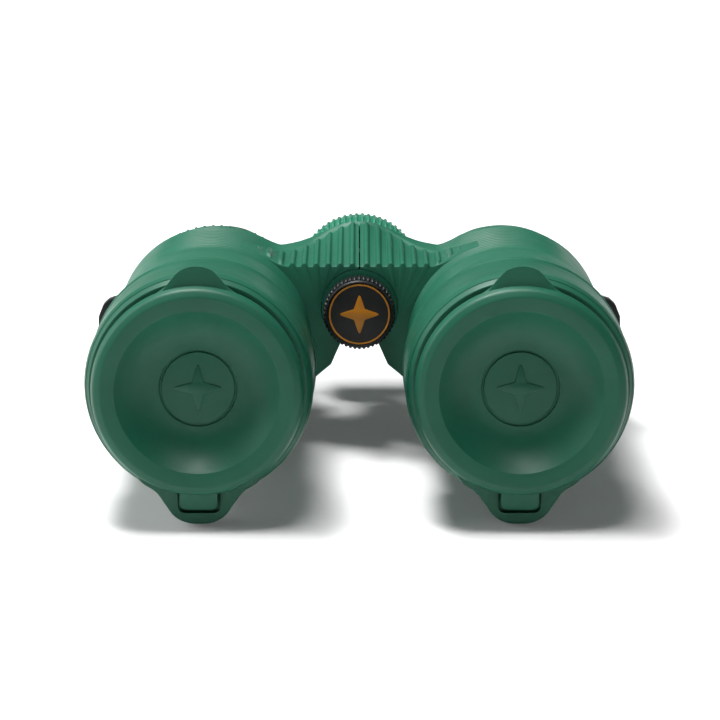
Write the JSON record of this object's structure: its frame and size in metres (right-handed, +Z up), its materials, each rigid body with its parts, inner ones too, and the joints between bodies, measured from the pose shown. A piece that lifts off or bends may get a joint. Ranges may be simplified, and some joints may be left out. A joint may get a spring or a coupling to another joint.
{
  "type": "binoculars",
  "caption": "Roof-prism binoculars in green rubber armour: centre hinge and focus wheel, twist-up eyecups, diopter ring and hinged objective covers.",
  "frame": {"origin": "middle of the length on the hinge plane, at the height of the lowest point of the tether ring loops", "axes": "+X to the user's left barrel, +Y from the objectives to the eyepieces along the optical axes, +Z up"},
  "size_m": [0.1328, 0.1448, 0.0612],
  "materials": {
    "green_armour": "satin moulded rubber, mid green",
    "green_ring": "satin moulded rubber, mid green",
    "green_grip": "satin moulded rubber, lighter green",
    "black_alloy": "black painted die casting",
    "black_plastic": "fine matt black",
    "black_rubber": "satin black rubber",
    "steel": "turned steel",
    "brass": "turned brass",
    "orange_badge": "black disc with an orange printed ring and plain mark",
    "coated_glass": "coated optical glass"
  },
  "bodies": {
    "left_half": {"chassis_left": "black_alloy", "armour_left": "green_armour", "bridge_armour_left": "green_armour", "tether_ring_left": "green_ring", "objective_bezel_left": "black_plastic", "objective_cell_left": "black_alloy", "objective_lock_ring_left": "black_alloy", "objective_crown_lens_left": "coated_glass", "objective_flint_lens_left": "coated_glass", "prism_cage_left": "black_alloy", "prism_half_penta_left": "coated_glass", "prism_roof_left": "coated_glass", "prism_clamp_left": "steel", "eyepiece_housing_left": "green_armour", "eyepiece_tube_left": "black_plastic", "eye_lens_left": "coated_glass", "strap_lug_left": "black_plastic", "field_lens_left": "coated_glass", "hinge_axle": "steel", "hinge_rear_collar": "black_plastic", "tripod_insert": "brass"},
    "right_half": {"chassis_right": "black_alloy", "armour_right": "green_armour", "bridge_armour_right": "green_armour", "tether_ring_right": "green_ring", "objective_bezel_right": "black_plastic", "objective_cell_right": "black_alloy", "objective_lock_ring_right": "black_alloy", "objective_crown_lens_right": "coated_glass", "objective_flint_lens_right": "coated_glass", "prism_cage_right": "black_alloy", "prism_half_penta_right": "coated_glass", "prism_roof_right": "coated_glass", "prism_clamp_right": "steel", "eyepiece_housing_right": "green_armour", "eyepiece_tube_right": "black_plastic", "eye_lens_right": "coated_glass", "strap_lug_right": "black_plastic"},
    "diopter_ring": {"diopter_ring": "green_armour"},
    "diopter_lens": {"diopter_cell": "black_alloy", "field_lens_right": "coated_glass"},
    "focus_wheel": {"focus_wheel_core": "black_plastic", "focus_wheel_grip": "green_grip"},
    "focus_carriage": {"focus_carriage": "brass"},
    "focusing_lens_left": {"focusing_cell_left": "black_alloy", "focusing_lens_left": "coated_glass"},
    "focusing_lens_right": {"focusing_cell_right": "black_alloy", "focusing_lens_right": "coated_glass"},
    "socket_seal": {"socket_cover_seal": "black_rubber"},
    "socket_cover": {"socket_cover": "black_plastic", "socket_cover_badge": "orange_badge"},
    "eyecup_cam_left": {"eyecup_cam_left": "steel"},
    "eyecup_left": {"eyecup_shell_left": "black_plastic", "eyecup_rubber_left": "black_rubber"},
    "objective_cover_left": {"objective_cover_left": "green_ring"},
    "eyecup_cam_right": {"eyecup_cam_right": "steel"},
    "eyecup_right": {"eyecup_shell_right": "black_plastic", "eyecup_rubber_right": "black_rubber"},
    "objective_cover_right": {"objective_cover_right": "green_ring"}
  },
  "joints": [
    {"name": "ipd_fold", "type": "hinge", "parent": "left_half", "child": "right_half", "pos_m": [0, 0.01145, 0.0404], "axis": [0, 1, 0], "range_deg": [-52, 0]},
    {"name": "focus_turn", "type": "hinge", "parent": "left_half", "child": "focus_wheel", "pos_m": [0, 0.03745, 0.0404], "axis": [0, 1, 0], "range_deg": [-190, 190]},
    {"name": "carriage_travel", "type": "slide", "parent": "left_half", "child": "focus_carriage", "axis": [0, 1, 0], "range_m": [-0.00265, 0.00265]},
    {"name": "lens_travel_left", "type": "slide", "parent": "left_half", "child": "focusing_lens_left", "axis": [0, 1, 0], "range_m": [-0.00265, 0.00265]},
    {"name": "lens_travel_right", "type": "slide", "parent": "right_half", "child": "focusing_lens_right", "axis": [0, 1, 0], "range_m": [-0.00265, 0.00265]},
    {"name": "diopter_turn", "type": "hinge", "parent": "right_half", "child": "diopter_ring", "pos_m": [-0.037, 0.02425, 0.032], "axis": [0, 1, 0], "range_deg": [-30, 30]},
    {"name": "diopter_travel", "type": "slide", "parent": "right_half", "child": "diopter_lens", "axis": [0, 1, 0], "range_m": [-0.00065, 0.00065]},
    {"name": "socket_cover_turn", "type": "hinge", "parent": "left_half", "child": "socket_seal", "pos_m": [0, -0.01155, 0.0404], "axis": [0, -1, 0], "range_deg": [0, 1440]},
    {"name": "socket_cover_travel", "type": "slide", "parent": "socket_seal", "child": "socket_cover", "axis": [0, -1, 0], "range_m": [0, 0.00509]},
    {"name": "eyecup_twist_left", "type": "hinge", "parent": "left_half", "child": "eyecup_cam_left", "pos_m": [0.037, 0.04845, 0.032], "axis": [0, 1, 0], "range_deg": [0, 100]},
    {"name": "eyecup_rise_left", "type": "slide", "parent": "eyecup_cam_left", "child": "eyecup_left", "axis": [0, 1, 0], "range_m": [0, 0.0095]},
    {"name": "cover_flap_left", "type": "hinge", "parent": "left_half", "child": "objective_cover_left", "pos_m": [0.037, -0.06815, 0.0036], "axis": [1, 0, 0], "range_deg": [0, 150]},
    {"name": "eyecup_twist_right", "type": "hinge", "parent": "right_half", "child": "eyecup_cam_right", "pos_m": [-0.037, 0.04845, 0.032], "axis": [0, 1, 0], "range_deg": [0, 100]},
    {"name": "eyecup_rise_right", "type": "slide", "parent": "eyecup_cam_right", "child": "eyecup_right", "axis": [0, 1, 0], "range_m": [0, 0.0095]},
    {"name": "cover_flap_right", "type": "hinge", "parent": "right_half", "child": "objective_cover_right", "pos_m": [-0.037, -0.06815, 0.0036], "axis": [1, 0, 0], "range_deg": [0, 150]}
  ],
  "couplings": [
    {"joint": "carriage_travel", "follows": "focus_turn", "m_per_rad": 0.00079577},
    {"joint": "lens_travel_left", "follows": "focus_turn", "m_per_rad": 0.00079577},
    {"joint": "lens_travel_right", "follows": "focus_turn", "m_per_rad": 0.00079577},
    {"joint": "diopter_travel", "follows": "diopter_turn", "m_per_rad": 0.0012},
    {"joint": "socket_cover_turn", "follows": "socket_cover_travel", "rad_per_m": 4937},
    {"joint": "eyecup_rise_left", "follows": "eyecup_twist_left", "m_per_rad": 0.00544},
    {"joint": "eyecup_rise_right", "follows": "eyecup_twist_right", "m_per_rad": 0.00544}
  ]
}
